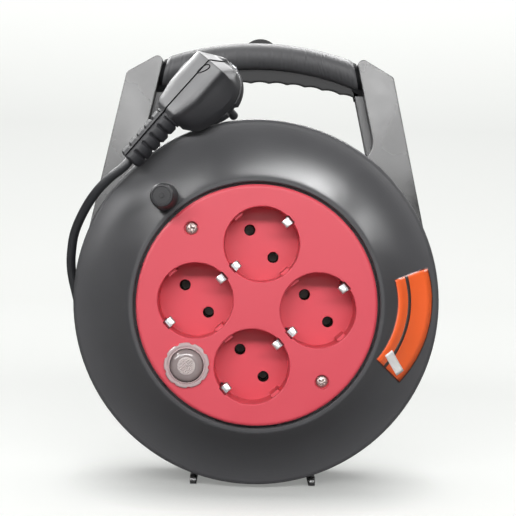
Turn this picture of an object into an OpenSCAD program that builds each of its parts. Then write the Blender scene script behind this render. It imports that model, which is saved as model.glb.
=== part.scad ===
// Extension cord reel: a drum with four earthed sockets turns on a rear frame
// that is also the carrying handle and the stand. Millimetres, +Z up,
// the sockets face -Y, origin on the floor under the middle of the reel.
// "Front view" coordinates are x to the right, y up from the drum axis and
// z towards the viewer, with z = 0 at the face of the socket plate.

/* [Drum] */
// Outer diameter of the bell-shaped front flange
flange_d = 197; // [186:0.5:205]
// Diameter of the red socket plate
plate_d = 125; // [121:0.5:128]
// Width of the dark seam round the socket plate
seam = 1.3; // [0.6:0.1:2]
// How far the flange's lip lies behind the plate's face
lip_set = 1.2; // [0:0.1:2.4]
// How far the flange's rim lies behind its lip
bell_drop = 25; // [20:0.5:30]
// Steepness of the bell at the lip, as a multiple of its mean slope
bell_flare = 1.9; // [1.4:0.05:2]
// Thickness of the flange at its rim
rim_t = 3.8; // [3:0.1:5]
// Wall of the bell
bell_wall = 2.2; // [1.6:0.1:3]
// How much wider than the socket plate the barrel is
barrel_over = 3; // [1:0.5:5]
// Wall of the barrel
hub_wall = 2.6; // [2:0.1:3.5]
// Clear width between the flanges, for the cord
winding_w = 33.5; // [33.5:0.5:38]
// Diameter of the rear flange
rear_flange_d = 194; // [184:0.5:200]
// Thickness of the rear flange
rear_flange_t = 3; // [2:0.1:4]
// Stiffening ribs behind the bell
bell_ribs = 12; // [6:1:18]
// How the drum is turned when the reel is at rest, in degrees
drum_turn = -3.5; // [-10:0.5:10]

/* [Sockets] */
// Distance from the drum's axis to each socket's middle
socket_at = 31.7; // [30.5:0.1:33]
// Diameter of each recess
recess_d = 39; // [38.5:0.1:40]
// Depth of each recess
recess_depth = 17.3; // [16.5:0.1:18]
// Wall round each recess
cup_wall = 1.9; // [1.4:0.1:2.4]
// Thickness of the recess's floor
cup_floor = 2.5; // [2:0.1:3.5]
// Diameter of the pin holes
pin_hole_d = 5.9; // [5.2:0.1:6.2]
// Distance between the two pins
pin_pitch = 19; // [18.5:0.1:19.5]
// Width of an earth clip
clip_w = 4; // [3:0.1:5]
// Thickness of the plate's face
plate_t = 3; // [2.4:0.1:4]
// Diameter of the wells over the plate's screws
screw_well_d = 7.5; // [7:0.1:9]
// Distance from the plate's edge in to its screws
screw_in = 10.5; // [9.5:0.25:11.5]

/* [Cut-out] */
// Distance from the plate's edge in to the middle of the thermal cut-out
cutout_in = 15.1; // [14.5:0.1:15.9]
// Diameter of the clear ring round the reset button
bezel_d = 23.5; // [22:0.1:24.5]
// Diameter of the reset button's dome
dome_d = 17; // [15:0.1:17.6]
// Travel of the reset button
reset_travel = 2; // [1:0.1:2.4]

/* [Crank knob] */
// Distance from the drum's axis to the knob
knob_at = 73.5; // [72:0.5:80]
// Diameter of the knob's front end
knob_tip_d = 12; // [11:0.25:14]
// Diameter of the knob where it meets the flange
knob_base_d = 14; // [13:0.25:16]
// How far the knob stands in front of the socket plate
knob_reach = 19; // [14:0.5:26]

/* [Frame] */
// Height of the drum's axis above the floor
axis_h = 101; // [99.5:0.25:110]
// Depth of the frame from front to back
frame_depth = 17; // [14:0.5:22]
// Wall of the frame's channel
frame_wall = 2.6; // [2:0.1:3.2]
// Skin on the front of the frame
frame_skin = 3; // [2:0.1:4]
// Radius of the frame's back plate
back_r = 93; // [88:0.5:95]
// Height of the arms' inner tips above the axis
arm_top = 140.3; // [134.3:0.5:146.3]
// Half the distance between the arms' inner tips
arm_half = 54.4; // [50.4:0.5:59.4]
// Width of an arm
arm_w = 20; // [17:0.5:24]
// Running gap between the drum and the frame
drum_gap = 1.5; // [0.8:0.1:3]
// Half the distance between the two runners
runner_half = 32.5; // [25:0.5:40]
// Thickness of a runner
runner_t = 3.4; // [3:0.1:6]
// How far the runners' floor line reaches behind the plate's face
runner_front = 38; // [34:0.5:44]
// Diameter of the steel spindle
spindle_d = 12; // [10:0.5:14]

/* [Handle] */
// Height of the grip's top above the axis
grip_top = 146.7; // [142.7:0.5:152.7]
// Radius of the arch that the grip's top follows
grip_arch_r = 162; // [140:1:190]
// Diameter of the rubber grip
grip_d = 15.6; // [14:0.2:18]
// Diameter of the bar inside the grip
bar_d = 10; // [8:0.2:11]
// Height of the scalloped rib under the middle of the grip
rib_h = 5.8; // [5:0.1:8]
// Radius of the arc that the rib's lower edge follows
rib_arch_r = 200; // [190:1:240]
// Finger waves along the rib
rib_waves = 11; // [5:1:15]

/* [Cord and plug] */
// Diameter of the cord
cord_d = 5; // [4.6:0.1:5.4]
// Free space left beside each turn of the cord
turn_gap = 0.55; // [0.5:0.05:0.8]
// Layers of cord on the drum
cord_layers = 6; // [4:1:6]
// Diameter of the plug's front disc
plug_d = 37; // [35:0.5:39]
// Depth from the cord's line to the plug's face
plug_depth = 16.6; // [15:0.2:18]
// Length of the plug's pins
plug_pin_l = 19; // [18:0.5:20]
// Diameter of the plug's pins
plug_pin_d = 4.8; // [4.6:0.1:5]
// Length of the ribbed strain relief
relief_l = 29; // [24:1:34]

/* [Hidden] */

black = "#3a3b3e";
red = "#e0586a";
rubber = "#2e2f31";
brass = "#c9a84c";
steel = "#b9bcc0";
clear_grey = "#c9c4bf";
cord_black = "#35363a";

eps = 0.01;
fit = 0.05;
slide_fit = 0.3;

// Depths, as z in the front view
z_lip = -lip_set;
z_rim = z_lip - bell_drop;
z_wind_front = z_rim - rim_t;
z_wind_back = z_wind_front - winding_w;
z_rear = z_wind_back - rear_flange_t;
z_frame = z_rear - drum_gap;
z_back = z_frame - frame_depth;
mid_depth = (-z_back - knob_reach) / 2;

// Drum
flange_r = flange_d / 2;
plate_r = plate_d / 2;
lip_r = plate_r + seam;
hub_r = plate_r + barrel_over / 2;
hub_in_r = hub_r - hub_wall;
ledge_w = 3.6;
ledge_r = plate_r - ledge_w;
ledge_t = 2.5;
skirt_w = 2.2;
z_ledge = -plate_t - 2;
crest_r = lip_r + 2;
shoulder = 0.04;
bell_steps = 28;
rim_round = rim_t / 2 - 0.1;
rim_in_r = flange_r - 4;

// Sockets
recess_r = recess_d / 2;
cup_r = recess_r + cup_wall;
z_floor = -recess_depth;
z_cup = z_floor - cup_floor;
recess_lead = 0.4;
clip_back_r = recess_r + 0.4;
clip_in_r = recess_r - 2.7;
clip_t = 0.9;
slot_w = clip_w + 1;
slot_out_r = clip_back_r + 0.3;
clip_boss_r = slot_out_r + 1.6;
clip_boss_w = slot_w + 3.2;
key_w = 5;
key_h = 1.6;
screw_hole_r = 1.9;
screw_boss_r = screw_well_d / 2 + 1.6;
screw_well_depth = 2.5;
screw_at = plate_r - screw_in;
z_boss = -24;

// Contacts
contact_gap = 2.5;
sleeve_in_r = plug_pin_d / 2;
sleeve_r = sleeve_in_r + 0.9;
bar_t = 1;
bar_w = 5;
ring_in_r = 13;
ring_out_r = 17;
z_line = z_cup - 6.5;
z_neutral = z_line - 3.2;
z_earth = z_neutral - 3.2;
z_carrier = z_earth - bar_t;
carrier_t = 2.5;
carrier_r = hub_in_r - 3.5;
z_carrier_back = z_carrier - carrier_t;

// Cut-out
cutout_at = plate_r - cutout_in;
bezel_r = bezel_d / 2;
dome_r = dome_d / 2;
bezel_in_r = dome_r + slide_fit;
bezel_h = 2.2;
cutout_collar = 9;
terminal_l = 3;
terminal_w = 4;
terminal_t = 0.8;
bezel_tabs = 9;
cutout_hole_r = bezel_in_r + 0.6;
cutout_body_r = cutout_hole_r - fit;
dome_set = 1.5;
z_cutout_top = -dome_set - reset_travel - 0.5;
cutout_depth = -z_neutral - 1;
stem_r = 3;
stem_reach = 5;
dome_h = 3.6;
pad_r = 4.8;

// Knob
z_knob_seat = z_lip + 0.5;
knob_angle = 135;
knob_boss_r = knob_base_d / 2;
knob_pin_r = 2.5;
knob_head_r = 4.2;
knob_head_t = 2;
z_head = knob_reach - 4.4;
z_knob_cap = knob_reach - 0.3;
knob_cap_t = 1.3;
knob_cap_pip_r = 1.2;
knob_boss_depth = 20;
pin_foot_r = 4.6;
pin_foot_t = 1.6;

// Spindle stack
spindle_r = spindle_d / 2;
bushing_r = spindle_r + 2;
hub_tube_r = bushing_r + 3;
bush_in = 21;
z_bush_front = z_wind_back + bush_in;
washer_t = 1.2;
z_washer = z_bush_front + 0.4;
washer_r = hub_tube_r - 0.5;
thrust_r = bushing_r + 4.5;
frame_boss_r = spindle_r + 6.5;
spindle_flange_r = spindle_r + 3;
spindle_flange_t = 1.4;
z_spindle_seat = z_back + 5;
spindle_screw_head = 2.4;
spindle_screw_head_r = 5;
spindle_screw_r = 2.5;
spindle_screw_l = 12;
axle_cap_r = frame_boss_r - 2.5;

// Screws that hold the drum's two halves
hub_screw_at = hub_in_r - 4.8;
hub_lug_r = 4.4;
hub_lug_l = 16;
hub_lug_web = 6;
hub_socket_l = 5;
screw_r = 1.75;
screw_head_r = 3.4;
screw_head_t = 2;
post_r = 5;
post_foot_w = 2;
post_bore_l = 22;
plate_screw_l = 36;
plate_screw_head_t = 1.4;
hub_screw_l = 14;
grip_screw_l = 5;

// Inner end of the cord, its saddle and its clamp
tail_angle = 290;
tail_rise = 12;
z_tail = z_wind_back + tail_rise;
tail_bend = 12;
tail_in_r = hub_in_r - 19.4;
saddle_w = 16;
clamp_at = tail_in_r + 9.5;
clamp_l = 8;
clamp_h = 4.6;
clamp_screw_off = cord_d / 2 + 3;
clamp_screw_r = 1.25;
clamp_screw_l = 9;
clamp_screw_head_r = 2.4;

// Frame
arm_slope = 0.222;
tip_drop = 12.6;
arm_low = 30;
web_w = 5;
web_set = 5;
web_t = 6;
corner_r = 3;
fillet_r = 12;
runner_h = 5;
frame_rib_t = 2;
rib_ring_r = 62;
spokes = 12;
arm_rungs = [104, 120];

// Handle
arch_y = grip_top - grip_arch_r;
bar_arch_r = grip_arch_r - grip_d / 2;
grip_r = grip_d / 2;
z_grip = z_frame - frame_depth / 2;
grip_half_angle = asin((arm_half + 2) / bar_arch_r);
grip_end_gap = 2.2;
rib_gap = 1.3;
rib_out_r = grip_arch_r - grip_d - rib_gap;
rib_low_y = arch_y + rib_out_r - rib_h - rib_arch_r;
rib_half_angle = asin((arm_half + 2) / rib_arch_r);
rib_wave = 0.8;
rib_wave_r = 14;
rib_neck = 3;
boss_r = 11;
boss_t = 4.5;
boss_neck_r = 3.6;

// Winding: only the outermost layer is wound, over a plain core
layer_step = 0.94 * cord_d;
rim_clear = 5.9;
layers_that_fit = floor((flange_r - rim_clear - hub_r - cord_d) / layer_step) + 1;
lay_r = hub_r + cord_d / 2 + (min(cord_layers, layers_that_fit) - 1) * layer_step;
turn_pitch = cord_d + turn_gap;
turn_rings = 24;
cord_sides = 6;
turns = floor((winding_w - cord_d - 0.4) / turn_pitch);
z_first_turn = z_wind_front - (winding_w - turns * turn_pitch) / 2;
core_r = lay_r * cos(180 / turn_rings) - cord_d / 2 - 0.1;
turn_count = turns * turn_rings;
coil_mid = [for (i = [0:turn_count]) let (a = 360 * i / turn_rings)
    [lay_r * cos(a), lay_r * sin(a), z_first_turn - turn_pitch * i / turn_rings]];
coil_gap = min([for (i = [0:turn_count - turn_rings], k = [-1:1])
    if (i + turn_rings + k <= turn_count)
    norm(coil_mid[i + turn_rings + k] - coil_mid[i]) - cord_d]);
echo(str("least gap between the turns of the winding: ", coil_gap, " mm"));

// Route of the free cord in the front view, from the winding to the plug
z_exit = -46;
cord_route = [
    [-78.5, -55, z_exit], [-85.4, -43.6, z_exit], [-90.6, -31.2, z_exit],
    [-94.2, -18.4, z_exit], [-97.3, -7, z_exit], [-99.7, 2.5, z_exit],
    [-101.4, 10, -45], [-102.2, 17, -43.5], [-101.8, 24.5, -41],
    [-99.7, 35, -36.5], [-94.7, 45.6, -30.5], [-88, 55.6, -24.5], [-80, 64, -19.5]
];
free_sides = 8;

// Plug, placed by the middle of its body
plug_at = [-31.8, 116.5, -16.2];
plug_swing = 49.1;
plug_roll = 155;
plug_body_back = 27;
relief_r = 7;
relief_tip_r = 6.4;
relief_ribs = 5;
relief_core_r = 3.6;
spine_w = 4.6;
disc_t = 5;
crown_h = 8;
crown_w = 22;
plug_face = plug_depth;
relief_tip = -plug_body_back - relief_l;
cord_path = concat(cord_route, [plug_point([relief_tip - cord_d, 0, 0]), plug_point([relief_tip, 0, 0])]);

// A point of the plug's own axes, in the front view
function plug_point(p) = let (
    y = p.y * cos(plug_roll) - p.z * sin(plug_roll),
    z = p.y * sin(plug_roll) + p.z * cos(plug_roll))
    plug_at + [p.x * cos(plug_swing) - y * sin(plug_swing),
        p.x * sin(plug_swing) + y * cos(plug_swing), z];

function bell_fall(t) = (bell_flare * t - (bell_flare - 1) * t * t) * (1 + shoulder) * t / (t + shoulder);
function bell_z(r) = z_lip - bell_drop * (r <= crest_r ? 0 : bell_fall((r - crest_r) / (flange_r - crest_r)));
function arc(c, r, from, to, n) = [for (i = [0:n]) let (a = from + (to - from) * i / n)
    c + r * [cos(a), sin(a)]];
function polar(r, a) = [r * cos(a), r * sin(a), 0];
function unit(v) = v / norm(v);

// Places things in the front view, or on the drum as it stands at rest
module front_view() {
    translate([0, -mid_depth, axis_h])
        rotate([90, 0, 0])
            children();
}

module on_drum() {
    front_view()
        rotate(drum_turn)
            children();
}

module at_plug() {
    front_view()
        translate(plug_at)
            rotate([0, 0, plug_swing])
                rotate([plug_roll, 0, 0])
                    children();
}

// A round bar along z from one depth to another
module rod(r, from, to, fn = 48) {
    translate([0, 0, min(from, to)])
        cylinder(r = r, h = abs(to - from), $fn = fn);
}

module tube(r, r_in, from, to, fn = 64) {
    difference() {
        rod(r, from, to, fn);
        rod(r_in, min(from, to) - 1, max(from, to) + 1, fn);
    }
}

// A tube swept along a list of points, with its ends square to the path
module swept(path, r, sides, up) {
    last = len(path) - 1;
    rings = [for (i = [0:last]) let (
        d = unit(path[min(i + 1, last)] - path[max(i - 1, 0)]),
        a = unit(cross(d, up)),
        b = cross(d, a))
        for (j = [0:sides - 1]) let (q = 360 * j / sides)
            path[i] + r * (cos(q) * a + sin(q) * b)];
    walls = [for (i = [0:last - 1], j = [0:sides - 1]) let (
        k = i * sides,
        n = (j + 1) % sides)
        each [[k + j, k + n, k + sides + j], [k + n, k + sides + n, k + sides + j]]];
    first_cap = [for (j = [1:sides - 2]) [0, j + 1, j]];
    last_cap = [for (j = [1:sides - 2]) [last * sides, last * sides + j, last * sides + j + 1]];
    polyhedron(rings, concat(walls, first_cap, last_cap));
}

// Bell, rim, barrel and the ledge that the socket plate sits on, as one turned section
module flange_section() {
    outer = [for (i = [0:bell_steps]) let (
        t = pow(i / bell_steps, 1.5),
        r = crest_r + t * (flange_r - rim_round - crest_r))
        [r, bell_z(r)]];
    rim = concat(
        arc([flange_r - rim_round, z_rim - rim_round], rim_round, 75, 0, 4),
        arc([flange_r - rim_round, z_wind_front + rim_round], rim_round, 0, -90, 4));
    inner = [for (i = [0:bell_steps]) let (
        t = pow(1 - i / bell_steps, 1.5),
        r = hub_r + t * (rim_in_r - hub_r))
        [r, bell_z(r + 1.5) - bell_wall]];
    polygon(concat(
        [[lip_r, z_lip - 0.6], [lip_r + 0.6, z_lip]],
        outer, rim, [[rim_in_r, z_wind_front]], inner,
        [[hub_r, z_wind_back], [hub_in_r, z_wind_back], [hub_in_r, z_ledge - ledge_t],
         [ledge_r, z_ledge - ledge_t], [ledge_r, z_ledge], [lip_r, z_ledge]]));
}

module bell_rib() {
    roof = [for (i = [0:6]) let (r = hub_r - 1 + (rim_in_r - hub_r + 1) * i / 6)
        [r, bell_z(r + 1.5) - bell_wall + 0.6]];
    rotate([90, 0, 0])
        linear_extrude(2, center = true)
            polygon(concat([[hub_r - 1, z_wind_front]], roof, [[rim_in_r, z_wind_front]]));
}

module front_flange() {
    color(black) on_drum() difference() {
        union() {
            rotate_extrude($fn = 128)
                flange_section();
            for (i = [0:bell_ribs - 1])
                rotate(360 * (i + 0.5) / bell_ribs)
                    bell_rib();
            translate(polar(knob_at, knob_angle))
                rod(knob_boss_r, z_knob_seat - knob_boss_depth, z_knob_seat);
            for (i = [0:3])
                rotate(90 * i)
                    hub_lug();
        }
        translate(polar(knob_at, knob_angle))
            rod(knob_pin_r + fit, z_wind_front - 1, z_knob_seat + 1);
        translate(polar(knob_at, knob_angle))
            rod(pin_foot_r + slide_fit, z_wind_front - 1, z_knob_seat - knob_boss_depth + pin_foot_t);
        for (i = [0:3])
            translate(polar(hub_screw_at, 90 * i))
                rod(screw_r, z_wind_back - 1, z_wind_back + hub_lug_l - 2);
        tail_hole(hub_r + 2);
    }
}

// Lug inside the barrel that takes a screw from the rear flange
module hub_lug() {
    translate([hub_screw_at, 0, 0])
        rod(hub_lug_r, z_wind_back, z_wind_back + hub_lug_l);
    translate([hub_screw_at, -hub_lug_web / 2, z_wind_back])
        cube([hub_in_r + 0.5 - hub_screw_at, hub_lug_web, hub_lug_l]);
}

module for_sockets() {
    for (a = [0, 90, 180, 270])
        translate(polar(socket_at, a))
            children();
}

module for_clips() {
    for_sockets()
        for (a = [45, 225])
            rotate(a)
                children();
}

module for_pins(side) {
    for_sockets()
        translate(polar(pin_pitch / 2, side))
            children();
}

module for_plate_screws() {
    for (a = [135, -45])
        translate(polar(screw_at, a))
            children();
}

module at_cutout() {
    translate(polar(cutout_at, 225))
        children();
}

// A cup for one socket, with the housings that guard its two earth clips
module cup() {
    rod(cup_r, z_cup, -eps, 96);
    for (a = [45, 225])
        rotate(a)
            translate([0, -clip_boss_w / 2, z_cup])
                cube([clip_boss_r, clip_boss_w, -z_cup - eps]);
}

module cup_cut() {
    rod(recess_r, z_floor, 1, 96);
    translate([0, 0, -recess_lead])
        cylinder(r1 = recess_r, r2 = recess_r + recess_lead + eps, h = recess_lead + eps, $fn = 96);
    for (a = [45, 225])
        rotate(a)
            translate([recess_r - 1, -slot_w / 2, z_cup - 1])
                cube([slot_out_r - recess_r + 1, slot_w, 2 - z_cup]);
    for (a = [135, -45])
        translate(polar(pin_pitch / 2, a))
            rod(pin_hole_d / 2, z_cup - 1, z_floor + 1);
}

// Key that stands in the recess at each end of the line of pins
module cup_key() {
    translate([recess_r - key_h, -key_w / 2, z_floor])
        cube([key_h + 0.6, key_w, recess_depth - 3]);
}

module socket_plate() {
    edge = 1.8;
    color(red) on_drum() {
        difference() {
            union() {
                rotate_extrude($fn = 128)
                    polygon(concat(
                        [[0, 0]], arc([plate_r - edge, -edge], edge, 90, 0, 5),
                        [[plate_r, z_ledge], [plate_r - skirt_w, z_ledge],
                         [plate_r - skirt_w, -plate_t], [0, -plate_t]]));
                for_sockets() cup();
                for_plate_screws() rod(screw_boss_r, z_boss, -eps);
                at_cutout() rod(cutout_hole_r + 1.5, -cutout_collar, -eps);
            }
            for_sockets() cup_cut();
            for_plate_screws() rod(screw_well_d / 2, -screw_well_depth, 1);
            for_plate_screws() rod(screw_hole_r, z_boss - 1, 1);
            at_cutout() rod(cutout_hole_r, -cutout_collar - 1, 1);
        }
        for_sockets()
            for (a = [135, -45])
                rotate(a) cup_key();
    }
}

// Hole through the barrel for the cord's inner end
module tail_hole(reach) {
    rotate(tail_angle)
        translate([hub_in_r - 4, 0, z_tail])
            rotate([0, 90, 0])
                cylinder(r = cord_d / 2 + slide_fit, h = reach - hub_in_r + 4, $fn = 48);
}

module rear_flange() {
    rear_r = rear_flange_d / 2;
    edge = rear_flange_t / 2 - 0.1;
    color(black) on_drum() difference() {
        union() {
            rotate_extrude($fn = 128)
                polygon(concat([[0, z_wind_back]],
                    arc([rear_r - edge, z_wind_back - edge], edge, 90, 0, 4),
                    arc([rear_r - edge, z_rear + edge], edge, 0, -90, 4),
                    [[0, z_rear]]));
            tube(hub_in_r - fit, hub_in_r - 2.2, z_wind_back - eps, z_wind_back + 3, 128);
            rod(hub_tube_r, z_rear, z_bush_front);
            for_plate_screws() rod(post_r, z_rear, z_boss);
            for_plate_screws() rod(post_r + post_foot_w, z_rear, z_carrier_back);
            rotate(tail_angle)
                translate([clamp_at - clamp_l / 2 - 0.5, -saddle_w / 2, z_wind_back - eps])
                    cube([clamp_l + 1, saddle_w, z_tail - z_wind_back - 0.4]);
        }
        rod(bushing_r, z_rear - 1, z_bush_front + 1);
        for_plate_screws() rod(screw_r, z_boss - post_bore_l, z_boss + 1);
        for (i = [0:3])
            translate(polar(hub_screw_at, 90 * i)) {
                rod(screw_r + 0.3, z_rear - 1, z_wind_back + hub_socket_l);
                rod(screw_head_r + slide_fit, z_rear - 1, z_rear + screw_head_t);
                rod(hub_lug_r + slide_fit, z_wind_back, z_wind_back + hub_socket_l);
            }
        for (i = [0:3])
            rotate(90 * i)
                translate([hub_screw_at, -hub_lug_web / 2 - slide_fit, z_wind_back])
                    cube([2 * hub_lug_r, hub_lug_web + 2 * slide_fit, hub_socket_l]);
        rotate(tail_angle) {
            tail_core(slide_fit);
            for_clamp_screws() rod(clamp_screw_r + fit, z_tail - clamp_screw_l, z_tail + 5);
        }
    }
}

module winding_core() {
    color(cord_black) on_drum()
        tube(core_r, hub_r + 0.1, z_wind_back + 0.1, z_wind_front - 0.1, 128);
}

module cable_winding() {
    first = coil_mid[0];
    last = coil_mid[turn_count];
    lead_in = first - cord_d * unit(coil_mid[1] - coil_mid[0]);
    lead_out = last + cord_d * unit(last - coil_mid[turn_count - 1]);
    color(cord_black) on_drum()
        swept(concat([lead_in], coil_mid, [lead_out]), cord_d / 2, cord_sides, [0, 0, 1]);
}

// A bus bar: a ring round the middle, an arm to each pin and a sleeve on each arm
module bus_bar(side, z) {
    difference() {
        union() {
            rod(ring_out_r, z, z - bar_t, 64);
            for_pins(side) rod(sleeve_r + 1, z, z - bar_t);
            for (a = [0, 90, 180, 270]) {
                p = polar(socket_at, a) + polar(pin_pitch / 2, side);
                rotate(atan2(p.y, p.x))
                    translate([ring_in_r + 1, -bar_w / 2, z - bar_t])
                        cube([norm(p) - sleeve_r - ring_in_r - 1, bar_w, bar_t]);
            }
            for_pins(side) rod(sleeve_r, z - bar_t / 2, z_cup - contact_gap);
        }
        rod(ring_in_r, z + 1, z - bar_t - 1, 64);
        for_pins(side) rod(sleeve_in_r, z_cup + 1, z - bar_t - 1);
    }
}

module line_bar() {
    color(brass) on_drum() bus_bar(135, z_line);
}

module neutral_bar() {
    color(brass) on_drum() bus_bar(-45, z_neutral);
}

// Hairpin spring that touches the plug's earth strip, seen along its width
module clip_section() {
    bulge = 1.9;
    out_r = clip_back_r;
    in_r = clip_in_r;
    polygon([
        [out_r, z_earth - bar_t / 2], [out_r, -2], [out_r - 0.8, -1.3], [in_r + 0.8, -1.3],
        [in_r, -2.1], [in_r - bulge + 1.2, -8], [in_r + 0.2, -13.5],
        [in_r + 0.2 + clip_t, -13.3], [in_r - bulge + 1.2 + clip_t, -8],
        [in_r + clip_t, -2.7], [in_r + clip_t + 0.4, -1.3 - clip_t],
        [out_r - clip_t - 0.4, -1.3 - clip_t], [out_r - clip_t, -2.7],
        [out_r - clip_t, z_earth - bar_t / 2]
    ]);
}

module earth_bar() {
    outer = norm(polar(socket_at, 0) + polar(clip_back_r - clip_t / 2, 45));
    inner = norm(polar(socket_at, 180) + polar(clip_back_r - clip_t / 2, 45));
    color(steel) on_drum() {
        difference() {
            union() {
                tube(outer + 1.6, outer - 1.6, z_earth, z_earth - bar_t, 96);
                for_plate_screws() rod(post_r + post_foot_w, z_earth, z_earth - bar_t);
                for (a = [135, -45])
                    rotate(a)
                        translate([inner - 3, -bar_w, z_earth - bar_t])
                            cube([outer - inner + 3, 2 * bar_w, bar_t]);
            }
            for_plate_screws() rod(post_r + slide_fit, 0, z_rear);
        }
        for_clips()
            translate([0, clip_w / 2, 0])
                rotate([90, 0, 0])
                    linear_extrude(clip_w)
                        clip_section();
    }
}

module contact_carrier() {
    color("#d8d6cf") on_drum() difference() {
        union() {
            rod(carrier_r, z_carrier_back, z_carrier, 96);
            tube(ring_in_r - slide_fit, ring_in_r - 2.5, z_carrier, z_line);
            tube(carrier_r, carrier_r - 2, z_carrier - eps, z_carrier + 3, 96);
        }
        for_plate_screws() rod(post_r + slide_fit, 0, z_rear);
        for_plate_screws() rod(post_r + post_foot_w + slide_fit, z_carrier + eps, 0);
        rotate(tail_angle)
            translate([tail_in_r - tail_bend, 0, 0])
                rod(cord_d / 2 + slide_fit, z_carrier_back - 1, z_carrier + 1);
    }
}

module thermal_cutout() {
    color("#2b2b2c") on_drum() at_cutout() difference() {
        union() {
            rod(cutout_body_r, -cutout_depth, z_cutout_top);
            for (side = [-1, 1])
                translate([side * stem_r - terminal_t / 2, -terminal_w / 2, -cutout_depth - terminal_l])
                    cube([terminal_t, terminal_w, terminal_l + eps]);
        }
        rod(stem_r + fit, z_cutout_top - stem_reach - reset_travel - 0.5, z_cutout_top + 1);
    }
}

module cutout_bezel() {
    color(clear_grey, 0.6) on_drum() at_cutout() difference() {
        rotate_extrude($fn = 64)
            polygon(concat(
                [[bezel_in_r, 0], [bezel_r, 0]],
                arc([bezel_r - 1, bezel_h - 1.2], 1, 0, 90, 4),
                [[bezel_r - 1.8, bezel_h - 0.2], [bezel_r - 1.9, bezel_h - 0.7],
                 [bezel_in_r + 0.9, bezel_h - 0.7], [bezel_in_r + 0.3, bezel_h], [bezel_in_r, bezel_h]]));
        for (i = [0:bezel_tabs - 1])
            rotate(360 * i / bezel_tabs)
                translate([bezel_r + 0.7, 0, 0])
                    rod(1.5, -1, bezel_h + 1, 24);
    }
}

module reset_button() {
    color(clear_grey, 0.7) on_drum() at_cutout()
        rotate_extrude($fn = 64)
            polygon(concat(
                [[0, z_cutout_top - stem_reach], [stem_r, z_cutout_top - stem_reach],
                 [stem_r, -dome_set], [dome_r, -dome_set], [dome_r, 0.4]],
                [for (i = [1:8]) let (a = 62 * i / 8)
                    [pad_r + (dome_r - pad_r) * cos(a * 1.4516), 0.4 + dome_h * sin(a * 1.4516)]],
                [[0, 0.4 + dome_h]]));
}

module screw(length, head_r, head_t) {
    difference() {
        union() {
            rod(head_r, 0, head_t, 32);
            rod(screw_r - fit, -length, eps, 32);
        }
        for (a = [0, 90])
            rotate(a)
                translate([-0.45 * head_r, -0.45, head_t - 1])
                    cube([0.9 * head_r, 0.9, 1.1]);
    }
}

module plate_screws() {
    color(steel) on_drum()
        for_plate_screws()
            translate([0, 0, -screw_well_depth])
                screw(plate_screw_l, screw_well_d / 2 - 0.5, plate_screw_head_t);
}

module hub_screws() {
    color(steel) on_drum()
        for (i = [0:3])
            translate(polar(hub_screw_at, 90 * i))
                translate([0, 0, z_rear + screw_head_t])
                    mirror([0, 0, 1])
                        screw(hub_screw_l, screw_head_r, screw_head_t - 0.3);
}

module for_clamp_screws() {
    for (y = [-clamp_screw_off, clamp_screw_off])
        translate([clamp_at, y, 0])
            children();
}

// Bridge that holds the cord's inner end down on its saddle
module cord_clamp() {
    color(black) on_drum() rotate(tail_angle)
        difference() {
            translate([clamp_at - clamp_l / 2, -saddle_w / 2, z_tail + 0.2])
                cube([clamp_l, saddle_w, clamp_h]);
            tail_core(fit);
            for_clamp_screws() rod(clamp_screw_r + 0.15, z_tail - 1, z_tail + clamp_h + 1);
        }
}

module clamp_screws() {
    color(steel) on_drum() rotate(tail_angle)
        for_clamp_screws()
            translate([0, 0, z_tail + 0.2 + clamp_h]) {
                rod(clamp_screw_head_r, 0, 1.6, 32);
                rod(clamp_screw_r, -clamp_screw_l, eps, 32);
            }
}

module tail_core(extra) {
    translate([tail_in_r - eps, 0, z_tail])
        rotate([0, 90, 0])
            cylinder(r = cord_d / 2 + extra, h = hub_r - tail_in_r - 0.5, $fn = 48);
}

// The cord's inner end: through the barrel, under the clamp and up to the carrier
module supply_tail() {
    bend = [for (a = [0:15:90])
        [tail_in_r - tail_bend * sin(a), 0, z_tail + tail_bend * (1 - cos(a))]];
    color(cord_black) on_drum() rotate(tail_angle)
        swept(concat([[hub_r - 0.5, 0, z_tail]], bend, [[tail_in_r - tail_bend, 0, z_carrier - 0.5]]),
            cord_d / 2, free_sides, [0, 1, 0]);
}

module drum_bushing() {
    color("#e8e6dc") on_drum() {
        tube(bushing_r - fit, spindle_r + fit, z_rear + 0.2, z_bush_front);
    }
}

module knob_pin() {
    foot = z_knob_seat - knob_boss_depth;
    color(steel) on_drum() translate(polar(knob_at, knob_angle)) {
        rod(knob_pin_r, foot, z_head + knob_head_t);
        rod(pin_foot_r, foot, foot + pin_foot_t - fit);
        rod(knob_head_r, z_head, z_head + knob_head_t);
    }
}

module crank_knob() {
    base = z_knob_seat + slide_fit;
    base_r = knob_base_d / 2;
    tip_r = knob_tip_d / 2;
    edge = 1;
    waist_r = tip_r + 0.2;
    color(black) on_drum() translate(polar(knob_at, knob_angle)) difference() {
        rotate_extrude($fn = 64)
            polygon(concat(
                [[0, base], [base_r - 0.3, base], [base_r, base + 0.3], [base_r - 0.2, base + 4],
                 [waist_r, knob_reach - 6]],
                arc([tip_r - edge, knob_reach - edge], edge, 0, 90, 4),
                [[0, knob_reach]]));
        rod(knob_pin_r + fit, base - 1, knob_reach + 1);
        rod(knob_head_r + slide_fit, z_head - slide_fit, knob_reach + 1);
    }
}

module knob_cap() {
    color(black) on_drum() translate(polar(knob_at, knob_angle)) {
        rod(knob_head_r + slide_fit - fit, z_knob_cap - knob_cap_t, z_knob_cap);
        rod(knob_cap_pip_r, z_knob_cap - eps, z_knob_cap + 0.2, 32);
    }
}

// How far from the middle an arm's inner edge lies at a height above the axis
function arm_x(y) = arm_half + arm_slope * (arm_top - y);

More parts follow.
